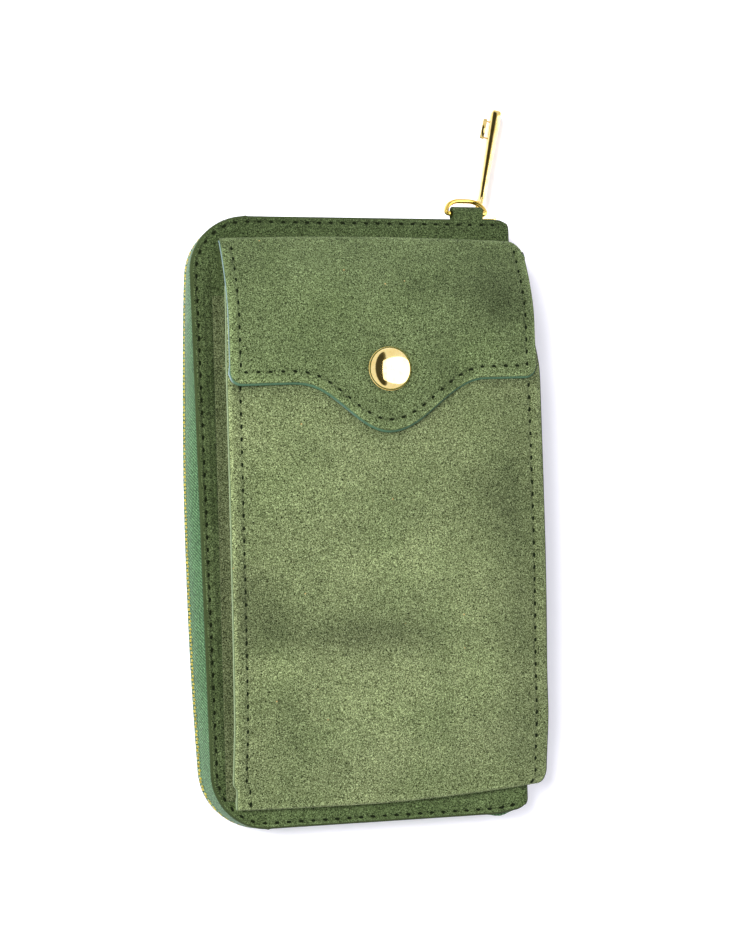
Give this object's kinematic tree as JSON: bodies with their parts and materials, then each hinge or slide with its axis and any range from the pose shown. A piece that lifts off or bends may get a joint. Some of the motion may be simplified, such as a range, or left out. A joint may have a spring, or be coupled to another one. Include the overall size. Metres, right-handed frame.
{
  "type": "wristlet wallet",
  "caption": "Zip-around wallet with a front phone pocket under a scalloped snap flap, card slots, a coin pouch and a ring for a wrist strap.",
  "frame": {"origin": "middle of the back cover's flat outer face", "axes": "+X to the spine, +Y to the end with the strap ring, +Z out of the front pocket"},
  "size_m": [0.1163, 0.2394, 0.0333],
  "materials": {
    "flap_suede": "brushed faux suede, olive green",
    "cover_suede": "brushed faux suede, darker olive green",
    "slot_suede": "brushed faux suede",
    "lining": "fine twill",
    "board": "bonded-leather board",
    "zip_tape": "woven tape",
    "gold_metal": "polished gold plate"
  },
  "bodies": {
    "back_half": {"back_suede": "cover_suede", "back_board": "board", "back_lining": "lining", "back_zip_tape": "zip_tape", "back_zip_teeth": "gold_metal", "zip_stops": "gold_metal", "bill_divider": "lining", "card_slots_1": "slot_suede", "card_slots_2": "slot_suede", "card_slots_3": "slot_suede", "card_slots_4": "slot_suede"},
    "spine": {"spine_suede": "cover_suede", "spine_lining": "lining"},
    "front_half": {"front_suede": "cover_suede", "front_board": "board", "front_lining": "lining", "front_zip_tape": "zip_tape", "front_zip_teeth": "gold_metal", "ring_tab": "flap_suede", "coin_panel": "slot_suede", "coin_zip_tape": "zip_tape", "coin_zip_teeth": "gold_metal", "pocket_back": "slot_suede", "gusset_left": "flap_suede", "gusset_right": "flap_suede", "pocket_front": "flap_suede", "pocket_lining": "lining", "snap_stud": "gold_metal"},
    "flap": {"flap_suede": "flap_suede", "flap_lining": "lining", "snap_cap": "gold_metal", "snap_socket": "gold_metal"},
    "d_ring": {"d_ring": "gold_metal"},
    "zip_slider": {"zip_slider": "gold_metal"},
    "zip_puller": {"zip_puller": "gold_metal"},
    "coin_slider": {"coin_slider": "gold_metal"},
    "coin_puller": {"coin_puller": "gold_metal"}
  },
  "joints": [
    {"name": "spine_fold", "type": "hinge", "parent": "back_half", "child": "spine", "pos_m": [0.057, 0, 0.0012], "axis": [0, 1, 0], "range_deg": [0, 28], "deforming": ["front_zip_teeth", "back_zip_teeth"]},
    {"name": "cover_fold", "type": "hinge", "parent": "spine", "child": "front_half", "pos_m": [0.057, 0, 0.0152], "axis": [0, 1, 0], "range_deg": [0, 128]},
    {"name": "flap_hinge", "type": "hinge", "parent": "front_half", "child": "flap", "pos_m": [0.005, 0.093, 0.0181], "axis": [-1, 0, 0], "range_deg": [0, 120]},
    {"name": "ring_swing", "type": "hinge", "parent": "front_half", "child": "d_ring", "pos_m": [0.0394, 0.1018, 0.01495], "axis": [1, 0, 0], "range_deg": [0, 130]},
    {"name": "zip_slide", "type": "slide", "parent": "back_half", "child": "zip_slider", "axis": [-1, 0, 0], "range_m": [0, 0.072]},
    {"name": "puller_swing", "type": "hinge", "parent": "zip_slider", "child": "zip_puller", "pos_m": [0.0455, 0.10225, 0.0082], "axis": [0, 0, 1], "range_deg": [-66, 94]},
    {"name": "coin_slide", "type": "slide", "parent": "front_half", "child": "coin_slider", "axis": [0, -1, 0], "range_m": [0, 0.148], "deforming": ["coin_zip_teeth"]},
    {"name": "coin_puller_swing", "type": "hinge", "parent": "coin_slider", "child": "coin_puller", "pos_m": [-0.036, 0.0755, 0.01075], "axis": [1, 0, 0], "range_deg": [-24, 0]}
  ],
  "couplings": [
    {"joint": "spine_fold", "follows": "cover_fold", "ratio": 0.21875}
  ]
}
